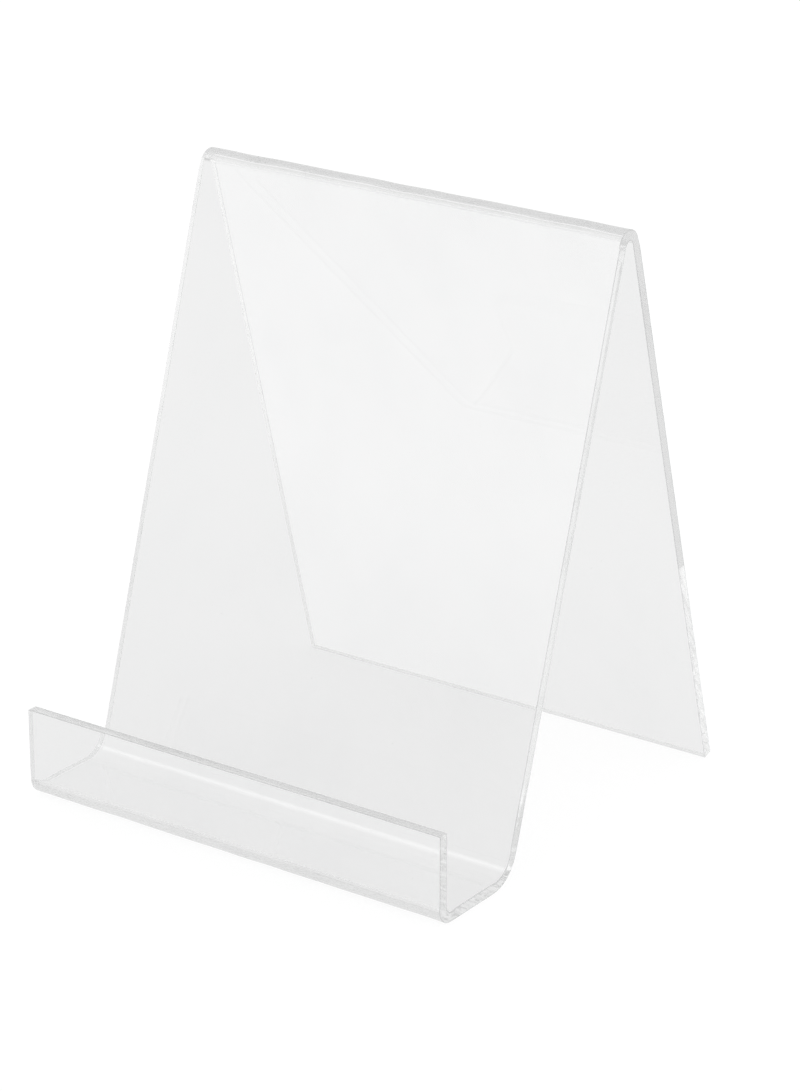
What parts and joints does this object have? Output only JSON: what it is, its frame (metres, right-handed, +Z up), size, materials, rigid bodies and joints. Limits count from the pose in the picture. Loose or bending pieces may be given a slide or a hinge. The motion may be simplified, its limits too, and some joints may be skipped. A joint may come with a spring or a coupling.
{
  "type": "book display stand",
  "caption": "Clear acrylic book display stand: a bent sheet with a low front lip, a flat ledge, a leaning back rest and a rear leg.",
  "frame": {"origin": "on the table, at the middle of the stand's footprint", "axes": "+X across the stand to the right seen from the front, +Y from the front lip towards the rear leg, +Z up"},
  "size_m": [0.178, 0.172, 0.2145],
  "materials": {
    "clear_acrylic": "clear cast acrylic, 4 mm, glossy faces, fine saw marks on the cut edges"
  },
  "bodies": {
    "root": {"bent_sheet": "clear_acrylic"}
  },
  "joints": []
}
